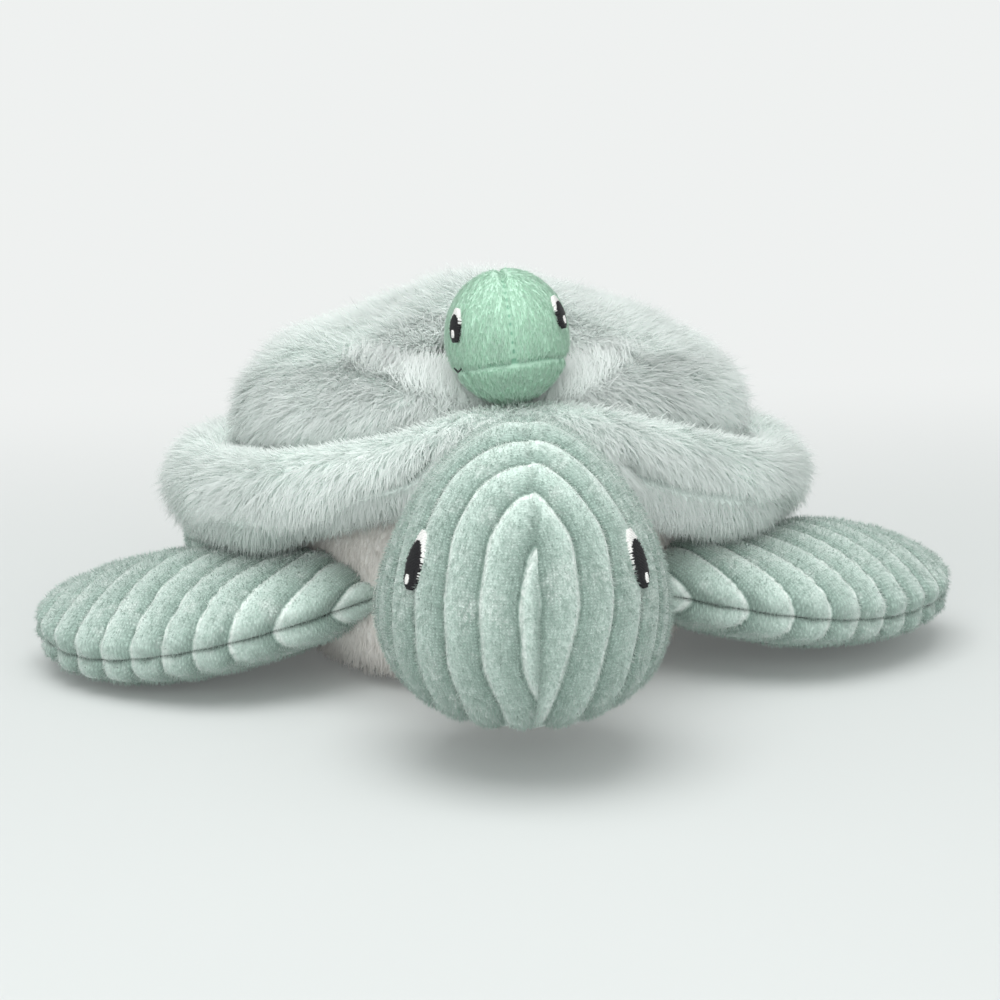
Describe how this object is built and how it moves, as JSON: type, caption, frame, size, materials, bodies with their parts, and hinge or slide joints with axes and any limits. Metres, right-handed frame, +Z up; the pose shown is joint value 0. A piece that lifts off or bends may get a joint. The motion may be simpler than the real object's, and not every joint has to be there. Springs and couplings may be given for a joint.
{
  "type": "plush turtle",
  "caption": "Stuffed sea turtle with a long-pile shell, ribbed velour head and flippers, and a small turtle that slides out of a pocket in the shell.",
  "frame": {"origin": "on the flat face that the belly rests on, under the middle of the shell", "axes": "+Z up, -Y toward the nose, +X toward the turtle's left flippers"},
  "size_m": [0.35, 0.3322, 0.1557],
  "materials": {
    "fur": "long soft pile, matte, pale sage grey",
    "cord": "wide ribbed velour, soft sheen on the ribs, sage",
    "plush": "short white plush, matte",
    "mint": "short mint pile with a soft sheen",
    "lining": "thin knitted lining, matte",
    "stuffing": "loose white polyester fibre",
    "black_thread": "satin stitch, black",
    "white_thread": "satin stitch, white"
  },
  "bodies": {
    "body": {"belly_panel": "plush", "body_filling": "stuffing", "shell_base": "lining", "shell_dome": "fur", "shell_filling": "stuffing", "shell_rim": "fur", "rim_filling": "stuffing", "pocket_lining": "lining"},
    "neck": {"neck": "plush"},
    "head": {"head_panel_left": "cord", "head_panel_right": "cord", "chin_panel": "cord", "head_filling": "stuffing", "eye_white_left": "white_thread", "eye_pupil_left": "black_thread", "eye_glint_left": "white_thread", "eye_white_right": "white_thread", "eye_pupil_right": "black_thread", "eye_glint_right": "white_thread"},
    "front_flipper_left": {"front_flipper_left_top_panel": "cord", "front_flipper_left_bottom_panel": "cord", "front_flipper_left_filling": "stuffing"},
    "front_flipper_right": {"front_flipper_right_top_panel": "cord", "front_flipper_right_bottom_panel": "cord", "front_flipper_right_filling": "stuffing"},
    "rear_flipper_left": {"rear_flipper_left_top_panel": "cord", "rear_flipper_left_bottom_panel": "cord", "rear_flipper_left_filling": "stuffing"},
    "rear_flipper_right": {"rear_flipper_right_top_panel": "cord", "rear_flipper_right_bottom_panel": "cord", "rear_flipper_right_filling": "stuffing"},
    "baby": {"baby_shell_panel": "mint", "baby_belly_panel": "mint", "baby_body_filling": "stuffing", "baby_neck": "mint"},
    "baby_head": {"baby_head_panel_left": "mint", "baby_head_panel_right": "mint", "baby_chin_panel": "mint", "baby_head_filling": "stuffing", "baby_eye_white_left": "white_thread", "baby_eye_pupil_left": "black_thread", "baby_eye_glint_left": "white_thread", "baby_eye_white_right": "white_thread", "baby_eye_pupil_right": "black_thread", "baby_eye_glint_right": "white_thread", "baby_mouth_stitch": "black_thread"},
    "baby_front_flipper_left": {"baby_front_flipper_left": "mint"},
    "baby_front_flipper_right": {"baby_front_flipper_right": "mint"},
    "baby_rear_flipper_left": {"baby_rear_flipper_left": "mint"},
    "baby_rear_flipper_right": {"baby_rear_flipper_right": "mint"}
  },
  "joints": [
    {"name": "neck_turn", "type": "hinge", "parent": "body", "child": "neck", "pos_m": [0, -0.088, 0.04], "axis": [0, 0, 1], "range_deg": [-18, 18], "stiffness_Nm_per_rad": 0.4},
    {"name": "head_nod", "type": "hinge", "parent": "neck", "child": "head", "pos_m": [0, -0.088, 0.04], "axis": [-0.9945, 0.1045, 0], "range_deg": [-10, 10], "stiffness_Nm_per_rad": 0.5},
    {"name": "front_flipper_left_flap", "type": "hinge", "parent": "body", "child": "front_flipper_left", "pos_m": [0.07707, -0.05194, 0.031], "axis": [-0.5553, -0.8317, 0], "range_deg": [-25, 3], "stiffness_Nm_per_rad": 0.2},
    {"name": "front_flipper_right_flap", "type": "hinge", "parent": "body", "child": "front_flipper_right", "pos_m": [-0.07707, -0.05194, 0.031], "axis": [-0.5553, 0.8317, 0], "range_deg": [-25, 3], "stiffness_Nm_per_rad": 0.2},
    {"name": "rear_flipper_left_flap", "type": "hinge", "parent": "body", "child": "rear_flipper_left", "pos_m": [0.05708, 0.07981, 0.028], "axis": [0.7735, -0.6338, 0], "range_deg": [-20, 6], "stiffness_Nm_per_rad": 0.1},
    {"name": "rear_flipper_right_flap", "type": "hinge", "parent": "body", "child": "rear_flipper_right", "pos_m": [-0.05708, 0.07981, 0.028], "axis": [0.7735, 0.6338, 0], "range_deg": [-20, 6], "stiffness_Nm_per_rad": 0.1},
    {"name": "baby_slide", "type": "slide", "parent": "body", "child": "baby", "axis": [0, -0.9781, 0.2079], "range_m": [0, 0.125]},
    {"name": "baby_head_nod", "type": "hinge", "parent": "baby", "child": "baby_head", "pos_m": [0, -0.04129, 0.11775], "axis": [-1, 0, 0], "range_deg": [-3, 8], "stiffness_Nm_per_rad": 0.04},
    {"name": "baby_front_flipper_left_flap", "type": "hinge", "parent": "baby", "child": "baby_front_flipper_left", "pos_m": [0.02084, -0.0317, 0.11572], "axis": [-0.638, -0.7532, 0.1601], "range_deg": [-5, 5], "stiffness_Nm_per_rad": 0.01},
    {"name": "baby_front_flipper_right_flap", "type": "hinge", "parent": "baby", "child": "baby_front_flipper_right", "pos_m": [-0.02084, -0.0317, 0.11572], "axis": [-0.638, 0.7532, -0.1601], "range_deg": [-5, 5], "stiffness_Nm_per_rad": 0.01},
    {"name": "baby_rear_flipper_left_flap", "type": "hinge", "parent": "baby", "child": "baby_rear_flipper_left", "pos_m": [0.02097, 0.03577, 0.10138], "axis": [0.582, -0.7954, 0.1691], "range_deg": [-5, 5], "stiffness_Nm_per_rad": 0.01},
    {"name": "baby_rear_flipper_right_flap", "type": "hinge", "parent": "baby", "child": "baby_rear_flipper_right", "pos_m": [-0.02097, 0.03577, 0.10138], "axis": [0.582, 0.7954, -0.1691], "range_deg": [-5, 5], "stiffness_Nm_per_rad": 0.01}
  ]
}
